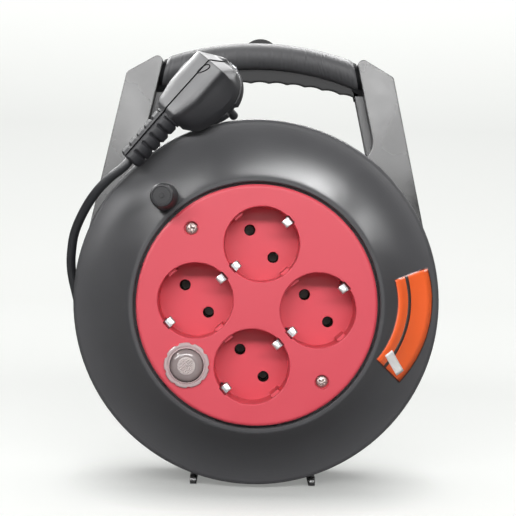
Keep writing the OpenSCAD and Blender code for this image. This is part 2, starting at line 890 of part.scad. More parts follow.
// One arm of the frame: a straight taper from the grip down to the back plate
module arm_outline() {
    polygon([
        [arm_half, arm_top],
        [arm_x(arm_top - tip_drop) + arm_w - 1, arm_top - tip_drop],
        [arm_x(arm_low) + arm_w - 1, arm_low],
        [back_r - 0.5, -12],
        [back_r - 30, -12],
        [arm_x(arm_low), arm_low]
    ]);
}

module frame_outline() {
    offset(r = -fillet_r, $fn = 48) offset(delta = fillet_r)
        offset(r = corner_r, $fn = 48) offset(delta = -corner_r)
            union() {
                circle(r = back_r, $fn = 128);
                arm_outline();
                mirror([1, 0]) arm_outline();
            }
}

// Set-back strip along the inner edge of each arm, from under the grip down to the back plate
module arm_web() {
    top = arch_y + sqrt(pow(rib_out_r, 2) - pow(arm_half + web_w, 2));
    low = back_r - 19;
    polygon([
        [arm_x(top) - web_w, top], [arm_x(top) + 2, top],
        [arm_x(low) + 2, low], [arm_x(low) - web_w, low]
    ]);
}

// Arch band between two radii, between the arms
module arch_band(r_out, r_in, spread) {
    translate([0, arch_y])
        intersection() {
            difference() {
                circle(r = r_out, $fn = 360);
                circle(r = r_in, $fn = 360);
            }
            polygon([[0, 0], r_out * 1.2 * [sin(spread), cos(spread)], r_out * 1.2 * [-sin(spread), cos(spread)]]);
        }
}

module rib_outline() {
    difference() {
        arch_band(rib_out_r, rib_out_r - rib_h - 1, grip_half_angle + 1.5);
        translate([0, rib_low_y]) {
            circle(r = rib_arch_r, $fn = 360);
            for (i = [-(rib_waves - 1) / 2:(rib_waves - 1) / 2])
                rotate(i * 2 * rib_half_angle / rib_waves)
                    translate([0, rib_arch_r + rib_wave - rib_wave_r])
                        circle(r = rib_wave_r, $fn = 64);
        }
    }
}

module handle_bar() {
    translate([0, arch_y, z_grip])
        rotate(90 - grip_half_angle - 1)
            rotate_extrude(angle = 2 * grip_half_angle + 2, $fn = 180)
                translate([bar_arch_r, 0])
                    circle(r = bar_d / 2, $fn = 48);
}

// Side view of a runner: x is the depth behind the plate's face, y the height from the axis
module runner_outline() {
    top = -axis_h + runner_h;
    polygon(concat(
        [[-z_back, -axis_h], [-z_back, -back_r + 14], [-z_frame, -back_r + 8], [-z_frame, top]],
        arc([runner_front - 1, top - runner_h / 2], runner_h / 2, 90, 180, 5),
        [[runner_front - 2.5, -axis_h + 1], [runner_front, -axis_h]]));
}

module runners() {
    for (side = [-1, 1])
        translate([side * runner_half - runner_t / 2, 0, 0])
            rotate([0, 90, 0])
                linear_extrude(runner_t)
                    runner_outline();
}

module frame_ribs() {
    intersection() {
        translate([0, 0, z_back + 2])
            linear_extrude(frame_depth - 3)
                offset(delta = -1) frame_outline();
        union() {
            for (i = [0:spokes - 1])
                rotate(360 * (i + 0.5) / spokes)
                    translate([0, -frame_rib_t / 2, z_back])
                        cube([flange_r + 20, frame_rib_t, frame_depth]);
            tube(rib_ring_r, rib_ring_r - frame_rib_t, z_back, z_frame, 96);
            for (side = [-1, 1], h = arm_rungs)
                translate([side * (arm_half + arm_w) - arm_w, h, z_back])
                    cube([2 * arm_w, frame_rib_t, frame_depth]);
        }
    }
}

module rear_frame() {
    color(black) front_view() difference() {
        union() {
            difference() {
                translate([0, 0, z_back])
                    linear_extrude(frame_depth) frame_outline();
                translate([0, 0, z_back - 1])
                    linear_extrude(frame_depth - frame_skin + 1)
                        offset(delta = -frame_wall) frame_outline();
            }
            frame_ribs();
            translate([0, 0, z_frame - web_set - web_t])
                linear_extrude(web_t) {
                    arm_web();
                    mirror([1, 0]) arm_web();
                }
            translate([0, 0, z_grip - web_t / 2])
                linear_extrude(web_t) rib_outline();
            translate([0, 0, z_grip - rib_neck / 2])
                linear_extrude(rib_neck) arch_band(bar_arch_r, rib_out_r - 1, grip_half_angle + 1);
            handle_bar();
            translate([0, bar_arch_r + arch_y, 0]) {
                rod(boss_r, z_back, z_back + boss_t);
                rod(boss_neck_r, z_back, z_grip);
            }
            rod(frame_boss_r, z_back, z_frame - eps);
            tube(thrust_r, thrust_r - 3, z_frame - eps, z_rear - 0.3);
            runners();
        }
        rod(spindle_r + fit, z_back - 1, z_frame + 5);
        rod(axle_cap_r, z_back - 1, z_spindle_seat);
        translate([0, bar_arch_r + arch_y, 0]) {
            rod(screw_r, z_back - 1, z_grip);
            rod(screw_head_r + slide_fit, z_back - 1, z_back + screw_head_t);
        }
    }
}

// Everything beyond an arm's inner edge, less the gap that the grip leaves there
module beyond_arm() {
    low = arm_top - 2 * grip_d;
    high = arm_top + 2 * grip_d;
    linear_extrude(4 * frame_depth, center = true)
        polygon([
            [arm_x(low) - grip_end_gap, low], [arm_x(low) + 50, low],
            [arm_x(low) + 50, high], [arm_x(high) - grip_end_gap, high]
        ]);
}

module handle_grip() {
    color(rubber) front_view() difference() {
        translate([0, arch_y, z_grip])
            rotate(90 - grip_half_angle - 3)
                rotate_extrude(angle = 2 * grip_half_angle + 6, $fn = 180)
                    translate([bar_arch_r, 0])
                        difference() {
                            circle(r = grip_r, $fn = 64);
                            circle(r = bar_d / 2 + fit, $fn = 48);
                            translate([-grip_r - 1, -rib_neck / 2 - 0.2])
                                square([grip_r, rib_neck + 0.4]);
                        }
        for (side = [0, 1])
            mirror([side, 0, 0])
                translate([0, 0, z_grip])
                    beyond_arm();
        translate([0, bar_arch_r + arch_y, 0]) {
            rod(boss_r + slide_fit, z_back - 1, z_back + boss_t + slide_fit);
            rod(boss_neck_r + slide_fit, z_back, z_grip);
        }
    }
}

module grip_screw() {
    color(steel) front_view()
        translate([0, bar_arch_r + arch_y, z_back + screw_head_t])
            mirror([0, 0, 1])
                screw(grip_screw_l, screw_head_r, screw_head_t - 0.3);
}

module spindle() {
    color(steel) front_view() difference() {
        union() {
            rod(spindle_r, z_spindle_seat - spindle_flange_t, z_washer);
            rod(spindle_flange_r, z_spindle_seat - spindle_flange_t, z_spindle_seat);
        }
        rod(spindle_screw_r, z_bush_front - spindle_screw_l - 2, z_bush_front + 1);
    }
}

module spindle_washer() {
    color(steel) front_view()
        tube(washer_r, spindle_screw_r + 0.1, z_washer, z_washer + washer_t);
}

module spindle_screw() {
    seat = z_washer + washer_t;
    color(steel) front_view() {
        rod(spindle_screw_head_r, seat, seat + spindle_screw_head, 32);
        rod(spindle_screw_r - fit, seat - spindle_screw_l, seat + eps, 32);
    }
}

module axle_cap() {
    color(black) front_view()
        rod(axle_cap_r - fit, z_back + 0.4, z_spindle_seat - spindle_flange_t - fit);
}

module cord_free() {
    color(cord_black) front_view()
        swept(cord_path, cord_d / 2, free_sides, [0.1, 0.1, 1]);
}

module plug_body() {
    tail_r = relief_r + 0.4;
    color(rubber) at_plug() difference() {
        union() {
            rod(plug_d / 2, plug_face - disc_t, plug_face, 96);
            hull() {
                rod(plug_d / 2 - 2, plug_face - disc_t - 1, plug_face - disc_t + eps, 32);
                translate([-plug_body_back, 0, 0])
                    rotate([0, 90, 0])
                        cylinder(r = tail_r, h = 4, $fn = 32);
                translate([-plug_body_back / 2, -crown_w / 2 + 2, -crown_h])
                    cube([plug_body_back / 2 + 9, crown_w - 4, 1]);
                translate([-plug_body_back / 2 - 3, -crown_w / 2, 2 - crown_h])
                    cube([plug_body_back / 2 + 14, crown_w, 1]);
                translate([13, -crown_w / 2 + 2, -3])
                    cube([2, crown_w - 4, 8]);
            }
        }
        for (side = [-1, 1])
            translate([-2.6, side * (plug_d / 2 + 0.4) - 2, plug_face - disc_t - 6])
                cube([5.2, 4, disc_t + 7]);
        for (side = [-1, 1]) {
            translate([0, side * pin_pitch / 2, 0])
                rod(plug_pin_d / 2, plug_face - 4, plug_face + 1);
            translate([side * (plug_d / 2 - 0.6) - 0.9, -3.2, plug_face - 4.4])
                cube([1.8, 6.4, 5]);
        }
    }
}

// Sleeve that keeps the cord from bending sharply at the plug, slotted from both sides
module plug_strain_relief() {
    pitch = (relief_l - 5) / relief_ribs;
    color(rubber) at_plug()
        translate([relief_tip, 0, 0])
            difference() {
                rotate([0, 90, 0])
                    cylinder(r1 = relief_tip_r, r2 = relief_r, h = relief_l, $fn = 48);
                for (i = [0:relief_ribs - 1])
                    translate([3 + i * pitch, 0, 0])
                        relief_slot(pitch * 0.42);
            }
}

// A slot across both sides of the sleeve, down to its round core
module relief_slot(w) {
    difference() {
        translate([0, -relief_r - 1, -relief_r - 1])
            cube([w, 2 * relief_r + 2, 2 * relief_r + 2]);
        translate([-1, -spine_w / 2, -relief_r - 2])
            cube([w + 2, spine_w, 2 * relief_r + 4]);
        translate([-1, 0, 0])
            rotate([0, 90, 0])
                cylinder(r = relief_core_r, h = w + 2, $fn = 32);
    }
}

module plug_pins() {
    color(steel) at_plug()
        for (side = [-1, 1])
            translate([0, side * pin_pitch / 2, 0])
                rotate_extrude($fn = 48)
                    polygon([[0, plug_face - 4], [plug_pin_d / 2, plug_face - 4],
                        [plug_pin_d / 2, plug_face + plug_pin_l - 1.2],
                        [plug_pin_d / 2 - 1.2, plug_face + plug_pin_l], [0, plug_face + plug_pin_l]]);
}

module plug_earth_contacts() {
    color(brass) at_plug()
        for (side = [-1, 1])
            translate([side * (plug_d / 2 - 0.6) - 0.9, -3.2, plug_face - 4.4])
                cube([1.8, 6.4, 4.4]);
}

front_flange();
socket_plate();
rear_flange();
winding_core();
cable_winding();
contact_carrier();
line_bar();
neutral_bar();
earth_bar();
thermal_cutout();
cutout_bezel();
reset_button();
plate_screws();
hub_screws();
cord_clamp();
clamp_screws();
supply_tail();
drum_bushing();
knob_pin();
crank_knob();
knob_cap();
rear_frame();
handle_grip();
grip_screw();
spindle();
spindle_washer();
spindle_screw();
axle_cap();
cord_free();
plug_body();
plug_strain_relief();
plug_pins();
plug_earth_contacts();
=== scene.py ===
import math
import bpy
import bmesh
from mathutils import Matrix, Vector


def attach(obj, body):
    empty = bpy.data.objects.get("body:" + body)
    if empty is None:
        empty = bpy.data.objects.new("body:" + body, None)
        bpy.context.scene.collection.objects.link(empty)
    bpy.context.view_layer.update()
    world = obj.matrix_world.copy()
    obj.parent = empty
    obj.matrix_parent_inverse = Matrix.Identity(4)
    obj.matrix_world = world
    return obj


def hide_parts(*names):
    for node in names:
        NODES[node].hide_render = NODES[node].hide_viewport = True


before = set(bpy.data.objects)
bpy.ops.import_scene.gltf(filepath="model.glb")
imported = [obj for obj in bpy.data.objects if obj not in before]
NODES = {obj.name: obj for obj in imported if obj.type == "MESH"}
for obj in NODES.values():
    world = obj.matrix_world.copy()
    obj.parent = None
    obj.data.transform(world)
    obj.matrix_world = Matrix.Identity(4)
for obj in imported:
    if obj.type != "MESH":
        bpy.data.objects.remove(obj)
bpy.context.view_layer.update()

# Extension cord reel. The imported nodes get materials. Finer pieces take the place of the free
# cord, the winding, the grip, the plug and the plate's screws. Lengths are in millimetres in the
# front view, unless a name or comment says metres.

AXIS_H = 101.0             # the drum's axis over the floor
MID = 33.0                 # from the socket plate's face back to the frame's origin
TURN = math.radians(-3.5)  # how far the drum is turned at rest


# ---------------------------------------------------------------- coordinates
def fv(x, y, z):
    """Front-view millimetres (z towards the viewer) to the row frame in metres."""
    return Vector((x, -z - MID, y + AXIS_H)) * 0.001


def drum(x, y, z):
    """The same for a point on the drum, which is turned about its axis."""
    c, s = math.cos(TURN), math.sin(TURN)
    return fv(c * x - s * y, s * x + c * y, z)


FRONT = Matrix(((0.001, 0, 0, 0), (0, 0, -0.001, -MID / 1000),
                (0, 0.001, 0, AXIS_H / 1000), (0, 0, 0, 1)))
PLUG_AT = Vector((-31.8, 116.5, -16.2))
SWING, ROLL = math.radians(49.1), math.radians(155)
AT_PLUG = (FRONT @ Matrix.Translation(PLUG_AT) @ Matrix.Rotation(SWING, 4, "Z")
           @ Matrix.Rotation(ROLL, 4, "X"))

# --------------------------------------------------------------------- camera
CAMERA_AT, CLIP_START = (-0.0066, -0.633, 0.1389), 0.05         # metres
CAMERA_YAW, CAMERA_PITCH, CAMERA_ROLL = math.radians(0.64), math.radians(-1.28), math.radians(1.2)
SENSOR, LENS = 36, 81.4

cam_data = bpy.data.cameras.new("camera")
cam = bpy.data.objects.new("camera", cam_data)
bpy.context.scene.collection.objects.link(cam)
bpy.context.scene.camera = cam
cam_data.sensor_width = SENSOR
cam_data.lens = LENS
cam_data.clip_start = CLIP_START
cam.location = CAMERA_AT
cam.matrix_world = (Matrix.Translation(cam.location) @ Matrix.Rotation(-CAMERA_YAW, 4, "Z")
                    @ Matrix.Rotation(math.radians(90) + CAMERA_PITCH, 4, "X")
                    @ Matrix.Rotation(CAMERA_ROLL, 4, "Z"))


# --------------------------------------------------------------------- meshes
def new_object(name, verts, faces, matrix=None, smooth=True, angle=35):
    """A mesh object whose edges over so many degrees stay sharp."""
    me = bpy.data.meshes.new(name)
    me.from_pydata([tuple(v) for v in verts], [], faces)
    if matrix is not None:
        me.transform(matrix)
    me.update()
    bm = bmesh.new()
    bm.from_mesh(me)
    bmesh.ops.recalc_face_normals(bm, faces=bm.faces)
    bm.to_mesh(me)
    bm.free()
    ob = bpy.data.objects.new(name, me)
    bpy.context.scene.collection.objects.link(ob)
    if smooth:
        me.shade_smooth()
        me.set_sharp_from_angle(angle=math.radians(angle))
    return ob


def lathe_faces(rows, sides):
    """Quads between closed rings of points."""
    return [(i * sides + j, i * sides + (j + 1) % sides,
             (i + 1) * sides + (j + 1) % sides, (i + 1) * sides + j)
            for i in range(rows - 1) for j in range(sides)]


def tube_faces(rows, sides):
    """The same quads with a face over each end."""
    return lathe_faces(rows, sides) + [tuple(range(sides)),
                                       tuple(range((rows - 1) * sides, rows * sides))]


def circle(sides):
    """The angles of a ring's points."""
    return [2 * math.pi * j / sides for j in range(sides)]


def tube_mesh(name, path, radius, sides, up):
    """A tube along points in metres; up is never along the path."""
    verts = []
    last = len(path) - 1
    for i, p in enumerate(path):
        d = (path[min(i + 1, last)] - path[max(i - 1, 0)]).normalized()
        a = d.cross(up).normalized()
        b = d.cross(a)
        verts += [p + radius * (math.cos(q) * a + math.sin(q) * b) for q in circle(sides)]
    return new_object(name, verts, tube_faces(len(path), sides))


def sheet(name, rows, thick, offset):
    """A thin sheet through rows of points, thickened to one side."""
    width = len(rows[0])
    faces = [(k, k + 1, k + width + 1, k + width)
             for i in range(len(rows) - 1) for k in range(i * width, (i + 1) * width - 1)]
    ob = new_object(name, [p for row in rows for p in row], faces)
    solid = ob.modifiers.new("sheet", "SOLIDIFY")
    solid.thickness = thick
    solid.offset = offset
    return ob


def grid(rows, cols, point):
    """Points of a sheet; point takes two shares from 0 to 1."""
    return [[point(i / rows, j / cols) for j in range(cols + 1)] for i in range(rows + 1)]


def dress(ob, mat, body, node=None):
    """Gives a piece its material, its body and the node that it stands for."""
    ob.data.materials.append(mat)
    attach(ob, body)
    if node:
        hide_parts(node)
    return ob


def smooth_line(points, step):
    """Catmull-Rom line through the points, sampled about every step."""
    out = []
    p = [points[0] * 2 - points[1]] + list(points) + [points[-1] * 2 - points[-2]]
    for i in range(1, len(p) - 2):
        n = max(1, round((p[i + 1] - p[i]).length / step))
        for j in range(n):
            t = j / n
            out.append(0.5 * ((2 * p[i]) + (p[i + 1] - p[i - 1]) * t
                              + (2 * p[i - 1] - 5 * p[i] + 4 * p[i + 1] - p[i + 2]) * t * t
                              + (3 * p[i] - p[i - 1] - 3 * p[i + 1] + p[i + 2]) * t ** 3))
    out.append(points[-1].copy())
    return out


def straight(x, table):
    """Value at x on straight lines between (x, value) pairs."""
    for (x0, v0), (x1, v1) in zip(table, table[1:]):
        if x <= x1:
            return v0 + (v1 - v0) * max(0.0, (x - x0) / (x1 - x0))
    return table[-1][1]


def eased(x, table):
    """The same, with each step eased in and out."""
    for (x0, v0), (x1, v1) in zip(table, table[1:]):
        if x <= x1:
            t = max(0.0, min(1.0, (x - x0) / (x1 - x0)))
            t = t * t * (3 - 2 * t)
            return v0 + (v1 - v0) * t
    return table[-1][1]


# ------------------------------------------------------------------ free cord
CORD_D, CORD_SIDES, ROUTE_STEP = 5.0, 24, 1.5
# from the winding behind the flange's rim, round it and up to the plug's sleeve
ROUTE = [(-78.5, -55, -46), (-85.4, -43.6, -46), (-90.6, -31.2, -46), (-94.2, -18.4, -46),
         (-97.3, -7, -46), (-99.7, 2.5, -46), (-101.4, 10, -45), (-102.2, 17, -43.5),
         (-101.8, 24.5, -41), (-99.7, 35, -36.5), (-94.7, 45.6, -30.5), (-88, 55.6, -24.5),
         (-80, 64, -19.5)]
IN_SLEEVE = (-61, -56)     # the last two points, on the plug's own axis


def plug_point(x, y, z):
    v = Matrix.Rotation(SWING, 3, "Z") @ (Matrix.Rotation(ROLL, 3, "X") @ Vector((x, y, z)))
    return PLUG_AT + v


route = [Vector(p) for p in ROUTE] + [plug_point(x, 0, 0) for x in IN_SLEEVE]
line = [fv(*p) for p in smooth_line(route, ROUTE_STEP)]
cord_free_look = tube_mesh("cord_free_look", line, CORD_D / 2000, CORD_SIDES,
                           up=Vector((0.1, 1, 0.1)))
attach(cord_free_look, "frame")
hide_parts("cord_free")

# ------------------------------------------------------------------ materials
BLOTCH_SCALE, BLOTCH_DETAIL = 28, 4             # slow changes of colour and gloss
BLOTCH_LOW, BLOTCH_HIGH = 0.3, 0.7              # the noise's usual range
GRAIN_DETAIL, GRAIN_DEPTH = 3, 0.0004           # fine bumps, depth in metres
BEVEL_SAMPLES = 4
MIX_A, MIX_B, MIX_OUT = 6, 7, 2                 # colour sockets of a Mix node


def srgb(r, g, b):
    """A display colour of 0 to 255 a channel as a linear one."""
    def f(c):
        c /= 255
        return c / 12.92 if c <= 0.04045 else ((c + 0.055) / 1.055) ** 2.4
    return (f(r), f(g), f(b), 1)


def new_node(nodes, kind, **values):
    """A shader node with some inputs set; an underscore stands for a space."""
    made = nodes.new("ShaderNode" + kind)
    for name, value in values.items():
        made.inputs[name.replace("_", " ")].default_value = value
    return made


def math_node(nodes, operation):
    made = nodes.new("ShaderNodeMath")
    made.operation = operation
    return made


def colour_mix(nodes, low=None, high=None):
    made = nodes.new("ShaderNodeMix")
    made.data_type = "RGBA"
    for socket, value in ((MIX_A, low), (MIX_B, high)):
        if value is not None:
            made.inputs[socket].default_value = value
    return made


def material(name, colour, rough, metal=0.0, grain=400, bump=0.1, spread=0.12, spec=0.5,
             transmission=0.0, rough_spread=0.08, streak=None, edge=0.0):
    """Moulded, rolled or rubbed surface: colour, gloss and bump all vary from nodes.

    spread is the share by which the colour varies, grain the bumps' scale, streak a stretch of
    the pattern along the axes, and edge the radius in metres of the softened edges.
    """
    m = bpy.data.materials.new(name)
    m.use_nodes = True
    n, l = m.node_tree.nodes, m.node_tree.links
    shader = n["Principled BSDF"]
    shader.inputs["Metallic"].default_value = metal
    shader.inputs["Specular IOR Level"].default_value = spec
    shader.inputs["Transmission Weight"].default_value = transmission
    place = n.new("ShaderNodeTexCoord").outputs["Object"]
    if streak:
        stretch = new_node(n, "Mapping", Scale=streak)
        l.new(place, stretch.inputs["Vector"])
        place = stretch.outputs["Vector"]
    blotch = new_node(n, "TexNoise", Scale=BLOTCH_SCALE, Detail=BLOTCH_DETAIL)
    l.new(place, blotch.inputs["Vector"])
    fine = new_node(n, "TexNoise", Scale=grain, Detail=GRAIN_DETAIL)
    l.new(place, fine.inputs["Vector"])
    tone = colour_mix(n, [c * (1 - spread) for c in colour[:3]] + [1],
                      [min(1, c * (1 + spread)) for c in colour[:3]] + [1])
    l.new(blotch.outputs["Fac"], tone.inputs[0])
    l.new(tone.outputs[MIX_OUT], shader.inputs["Base Color"])
    gloss = new_node(n, "MapRange", From_Min=BLOTCH_LOW, From_Max=BLOTCH_HIGH,
                     To_Min=max(0.02, rough - rough_spread), To_Max=min(1, rough + rough_spread))
    l.new(blotch.outputs["Fac"], gloss.inputs["Value"])
    l.new(gloss.outputs["Result"], shader.inputs["Roughness"])
    bumps = new_node(n, "Bump", Strength=bump, Distance=GRAIN_DEPTH)
    if edge:
        soft = new_node(n, "Bevel", Radius=edge)
        soft.samples = BEVEL_SAMPLES
        l.new(soft.outputs["Normal"], bumps.inputs["Normal"])
    l.new(fine.outputs["Fac"], bumps.inputs["Height"])
    l.new(bumps.outputs["Normal"], shader.inputs["Normal"])
    return m


def reach_mask(n, l, axis, low, high):
    """Goes from 0 to 1 as the distance along an axis goes from low to high, in metres."""
    place = n.new("ShaderNodeTexCoord")
    split = n.new("ShaderNodeSeparateXYZ")
    reach = math_node(n, "ABSOLUTE")
    mask = new_node(n, "MapRange", From_Min=low, From_Max=high)
    l.new(place.outputs["Object"], split.inputs["Vector"])
    l.new(split.outputs[axis], reach.inputs[0])
    l.new(reach.outputs[0], mask.inputs["Value"])
    return mask.outputs["Result"]


def paint_sheen_and_shade(m, colour, rough, *limits):
    """Paints sheen and shade onto a moulding: the part within all the limits gets another colour
    and gloss.
    """
    n, l = m.node_tree.nodes, m.node_tree.links
    shader = n["Principled BSDF"]
    mask = None
    for limit in limits:
        part = reach_mask(n, l, *limit)
        if mask is not None:
            both = math_node(n, "MULTIPLY")
            l.new(mask, both.inputs[0])
            l.new(part, both.inputs[1])
            part = both.outputs[0]
        mask = part
    for socket, value in (("Base Color", colour), ("Roughness", (rough, rough, rough, 1))):
        mix = colour_mix(n, high=value)
        l.new(mask, mix.inputs[0])
        l.new(shader.inputs[socket].links[0].from_socket, mix.inputs[MIX_A])
        l.new(mix.outputs[MIX_OUT], shader.inputs[socket])


# mouldings
BLACK = material("black_moulding", srgb(48, 48, 50), 0.4, grain=900, bump=0.06, spec=0.3,
                 edge=0.0004)
# the bell's black plastic, lighter than the black moulding: the lift is a painted sheen in place of
# the room's reflection
BELL = material("bell_moulding", srgb(79, 79, 81), 0.38, grain=900, bump=0.05, spec=0.18,
                edge=0.0004)
RED = material("red_moulding", srgb(216, 74, 88), 0.45, grain=1500, bump=0.05, spread=0.04,
               spec=0.35, edge=0.0006)
WHITE = material("white_moulding", srgb(215, 212, 203), 0.45, grain=900, bump=0.05)
# the frame's tone, lighter than the black moulding, is the front face's painted sheen
FRAME = material("frame_moulding", srgb(62, 62, 62), 0.24, grain=900, bump=0.05, spread=0.3,
                 spec=1.0, rough_spread=0.12, edge=0.0011)
# limits along an axis in metres: all but the front face, whose lighter tone is a painted sheen, and
# the finger rib, painted near black as shade
BEHIND_FACE = ("Y", 0.0356, 0.0364)
BETWEEN_ARMS, ABOVE_GAP = ("X", 0.0542, 0.0535), ("Z", 0.207, 0.208)
# painted sheen: everything behind the arms' front face gets a darker, duller tone than the face
paint_sheen_and_shade(FRAME, srgb(44, 44, 46), 0.5, BEHIND_FACE)
# painted shade: the finger rib under the grip, between the arms, near black
paint_sheen_and_shade(FRAME, srgb(14, 14, 17), 0.85, BETWEEN_ARMS, ABOVE_GAP)
SHADE = material("seam_shadow", srgb(14, 14, 16), 0.7, grain=900, bump=0.05, spec=0.1)

# rubber and cord
RUBBER = material("grip_rubber", srgb(44, 44, 46), 0.5, grain=700, bump=0.2)
# the sleeve's grey is lifted above the rubber's own tone to make up for lowered gloss: painted
# sheen
GRIP = material("grip_sleeve", srgb(74, 74, 76), 0.6, grain=420, bump=0.4, spread=0.25,
                streak=(1, 0.12, 0.12), rough_spread=0.1, spec=0.4)
CORD = material("cord_pvc", srgb(42, 43, 46), 0.42, grain=1200, bump=0.1)
PLUG = material("plug_pvc", srgb(42, 42, 45), 0.4, grain=900, bump=0.12, spec=0.8, spread=0.3,
                rough_spread=0.14, edge=0.0011)
SLEEVE = material("sleeve_pvc", srgb(46, 46, 49), 0.55, grain=900, bump=0.1, spec=0.35,
                  spread=0.3)

# metals
STEEL = material("plated_steel", srgb(190, 192, 195), 0.3, metal=1, grain=1500, bump=0.05)
# pin plating darkened below its own tone: painted shade on the pins
CHROME = material("plated_pin", srgb(120, 120, 122), 0.35, metal=1, grain=1500, bump=0.03)
# brass darkened far below its own tone: partly oxide, partly painted shade deep in the pin holes
SHADED_BRASS = material("contact_brass", srgb(26, 22, 17), 0.5, metal=1, grain=1200, bump=0.05)
SCREW = material("screw_steel", srgb(188, 174, 170), 0.48, metal=1, grain=900, bump=0.15,
                 spread=0.3, edge=0.0003)
CLIP = material("clip_spring", srgb(252, 250, 246), 0.42, metal=1, grain=1500, bump=0.05,
                edge=0.0003)

# reset button
BEZEL = material("clear_ring", srgb(236, 210, 211), 0.12, grain=700, bump=0.03, spread=0.08,
                 transmission=0.4, rough_spread=0.04)
DOME = material("smoked_dome", srgb(176, 162, 161), 0.14, grain=700, bump=0.03, spread=0.1,
                transmission=0.35, rough_spread=0.04)
PAD = material("dome_pad", srgb(196, 184, 182), 0.35, grain=900, bump=0.03, spread=0.05)

# sticker
ORANGE = material("sticker_film", srgb(250, 104, 46), 0.35, grain=600, bump=0.03, spread=0.03)
EDGE = material("sticker_edge_print", srgb(96, 44, 32), 0.4, grain=600, bump=0.03)
INK = material("sticker_dark", srgb(56, 48, 46), 0.4, grain=600, bump=0.03)
LABEL = material("sticker_white", srgb(252, 250, 248), 0.4, grain=600, bump=0.03, spread=0.03)

WEAR = {
    "front_flange": BELL, "socket_plate": RED, "rear_flange": BLACK, "winding_core": CORD,
    "cable_winding": CORD, "contact_carrier": WHITE, "line_bar": SHADED_BRASS, "neutral_bar": SHADED_BRASS,
    "earth_bar": STEEL, "thermal_cutout": BLACK, "cutout_bezel": BEZEL, "reset_button": DOME,
    "plate_screws": SCREW, "hub_screws": STEEL, "cord_clamp": BLACK, "clamp_screws": STEEL,
    "supply_tail": CORD, "drum_bushing": WHITE, "knob_pin": STEEL, "crank_knob": BLACK,
    "knob_cap": BLACK, "rear_frame": FRAME, "handle_grip": RUBBER, "grip_screw": STEEL,
    "spindle": STEEL, "spindle_washer": STEEL, "spindle_screw": STEEL, "axle_cap": BLACK,
    "cord_free": CORD, "plug_body": PLUG, "plug_strain_relief": PLUG, "plug_pins": CHROME,
    "plug_earth_contacts": STEEL}
for name, ob in NODES.items():
    ob.data.materials.clear()
    ob.data.materials.append(WEAR[name])
cord_free_look.data.materials.append(CORD)

# -------------------------------------------------------------------- winding
TURN_STEPS, TURN_SIDES = 72, 12


def layer(name, node, r, turns, z_start, pitch):
    """A layer of the winding, as a helix that runs to the back from z_start."""
    path = []
    for i in range(turns * TURN_STEPS + 1):
        a = 2 * math.pi * i / TURN_STEPS
        path.append(drum(r * math.cos(a), r * math.sin(a), z_start - pitch * i / TURN_STEPS))
    ob = tube_mesh(name, path, CORD_D / 2000, TURN_SIDES, up=Vector((0, 1, 0)))
    dress(ob, CORD, "drum", node)


layer("winding_outer_look", "cable_winding", 90.0, 5, -32.875, 5.55)
layer("winding_inner_look", "winding_core", 85.2, 6, -32.55, 4.72)

# ----------------------------------------------------------- clips in recesses
SOCKET_AT, RECESS_R = 31.7, 19.5                # recesses from the axis, and their radius
CLIP_IN, CLIP_LONG, CLIP_WIDE, CLIP_Z = 4.5, 4.2, 4.2, -1.2
CLIP_END_DROP, CLIP_SIDE_DROP = 0.9, 0.25
CLIP_THICK = 0.0004                             # metres


def clip_tab(socket, side):
    """The bent-over end of one earth clip, crowned both ways; angles in degrees."""
    a, b = math.radians(socket), math.radians(side)
    cx, cy = SOCKET_AT * math.cos(a), SOCKET_AT * math.sin(a)

    def point(u, v):
        r = RECESS_R - CLIP_IN + CLIP_LONG * u
        w = CLIP_WIDE * (v - 0.5)
        z = (CLIP_Z - CLIP_END_DROP * abs(2 * u - 1) ** 3
             - CLIP_SIDE_DROP * abs(2 * v - 1) ** 3)
        return drum(cx + r * math.cos(b) - w * math.sin(b),
                    cy + r * math.sin(b) + w * math.cos(b), z)
    ob = sheet("earth_clip_look.%d_%d" % (socket, side), grid(10, 8, point), CLIP_THICK, -1)
    dress(ob, CLIP, "drum")


for socket in (0, 90, 180, 270):
    for side in (45, 225):
        clip_tab(socket, side)

# ---------------------------------------------------------- reset button's pad
PAD_AT, PAD_ANGLE, PAD_R, PAD_Z = 47.4, 225, 4.6, 4.0
PAD_LIFT, PAD_HATCH, PAD_HIGH, PAD_FADE = 0.02, 1.9, 0.8, 4
PAD_THICK, PAD_MERGE = 0.00005, 0.000001        # metres


def make_pad():
    """Cross-hatched thumb pad on the button's flat top; its hatch fades at the rim."""
    c = PAD_AT * math.cos(math.radians(PAD_ANGLE))

    def point(u, v):
        r, q = PAD_R * u, 2 * math.pi * v
        x, y = r * math.cos(q), r * math.sin(q)
        bump = abs(math.sin(PAD_HATCH * (x + y)) * math.sin(PAD_HATCH * (x - y))) ** 0.6
        high = PAD_HIGH * bump * min(1.0, PAD_FADE * (1 - u))
        return drum(c + x, c + y, PAD_Z + PAD_LIFT + high)
    ob = sheet("reset_pad_look", grid(26, 64, point), PAD_THICK, -1)
    dress(ob, PAD, "button")
    bm = bmesh.new()
    bm.from_mesh(ob.data)
    bmesh.ops.remove_doubles(bm, verts=bm.verts, dist=PAD_MERGE)
    bm.to_mesh(ob.data)
    bm.free()


make_pad()

# --------------------------------------------------------------- plate's screws
SCREW_AT, SCREW_Z, HEAD_R, HEAD_DROP, HEAD_BOTTOM = 52.0, -1.05, 3.05, 0.9, -2.45
SHANK_R, SHANK_END = 1.7, -38.0
CROSS_LONG, CROSS_HALF, CROSS_DEEP, CROSS_RISE = 1.75, 0.42, 1.3, 0.3
CROSS_SLOPE, CROSS_EDGE = 0.3, 0.2              # softness of the cross's walls
SCREWS = ((135, 0.3), (-45, 1.1))               # place in degrees, turn of the cross in radians


